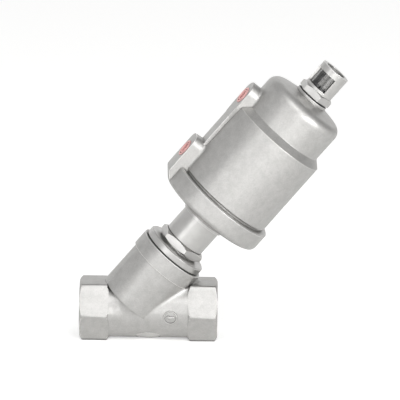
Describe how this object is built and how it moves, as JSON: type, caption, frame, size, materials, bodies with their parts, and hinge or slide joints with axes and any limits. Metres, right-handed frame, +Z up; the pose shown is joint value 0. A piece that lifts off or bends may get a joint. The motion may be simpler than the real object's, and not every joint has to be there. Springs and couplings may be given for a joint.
{
  "type": "angle seat valve",
  "caption": "Angle seat valve: stainless Y-pattern body with threaded ends, a spring-closed piston actuator that swivels on the bonnet, and a position indicator under a windowed cage.",
  "frame": {"origin": "centre of the inlet face, on the pipe axis", "axes": "+X along the pipe axis, out of the inlet; +Z up, on the side to which the actuator leans; the stem axis lies in the XZ plane, 50 degrees above +X"},
  "size_m": [0.1428, 0.0624, 0.1551],
  "materials": {
    "cast_stainless": "bead-blasted investment casting",
    "turned_stainless": "turned",
    "spring_steel": "drawn wire",
    "aluminium_piston": "turned",
    "ptfe": "moulded PTFE",
    "black_rubber": "moulded",
    "red_plastic": "moulded",
    "clear_plastic": "extruded clear tube"
  },
  "bodies": {
    "body": {"valve_body": "cast_stainless", "body_gasket": "ptfe", "bonnet": "turned_stainless", "stem_wiper": "ptfe", "packing_spring": "spring_steel", "packing_washer": "turned_stainless", "v_rings": "ptfe", "gland_nut": "turned_stainless", "gland_bush": "ptfe", "gland_o_ring": "black_rubber", "swivel_o_ring": "black_rubber", "snap_ring": "spring_steel"},
    "actuator": {"actuator_housing": "cast_stainless", "bottom_cap": "cast_stainless", "cap_o_ring": "black_rubber", "swivel_washer": "ptfe", "outer_spring": "spring_steel", "inner_spring": "spring_steel", "indicator_bush": "ptfe", "cage_o_ring": "black_rubber", "indicator_cage": "turned_stainless", "sight_tube": "clear_plastic"},
    "stem_group": {"stem": "turned_stainless", "disc_holder": "turned_stainless", "holder_pin": "spring_steel", "disc_seal": "ptfe", "disc_washer": "turned_stainless", "disc_nut": "turned_stainless", "piston": "aluminium_piston", "piston_lip_seal": "black_rubber", "piston_guide_band": "ptfe", "piston_o_ring": "black_rubber", "piston_washer": "turned_stainless", "piston_nut": "turned_stainless", "indicator_rod": "turned_stainless", "indicator": "red_plastic"},
    "lower_plug": {"lower_port_plug": "red_plastic"},
    "upper_plug": {"upper_port_plug": "red_plastic"}
  },
  "joints": [
    {"name": "actuator_swivel", "type": "hinge", "parent": "body", "child": "actuator", "pos_m": [-0.05105, 0, 0], "axis": [0.6428, 0, 0.766], "continuous": true},
    {"name": "stem_lift", "type": "slide", "parent": "actuator", "child": "stem_group", "axis": [0.6428, 0, 0.766], "range_m": [0, 0.011], "stiffness_N_per_m": 1000, "springref_m": -0.004, "deforming": ["outer_spring", "inner_spring"]},
    {"name": "lower_plug_pull", "type": "slide", "parent": "actuator", "child": "lower_plug", "axis": [-0.7618, -0.1045, 0.6393], "range_m": [0, 0.012]},
    {"name": "upper_plug_pull", "type": "slide", "parent": "actuator", "child": "upper_plug", "axis": [-0.7618, -0.1045, 0.6393], "range_m": [0, 0.012]}
  ]
}
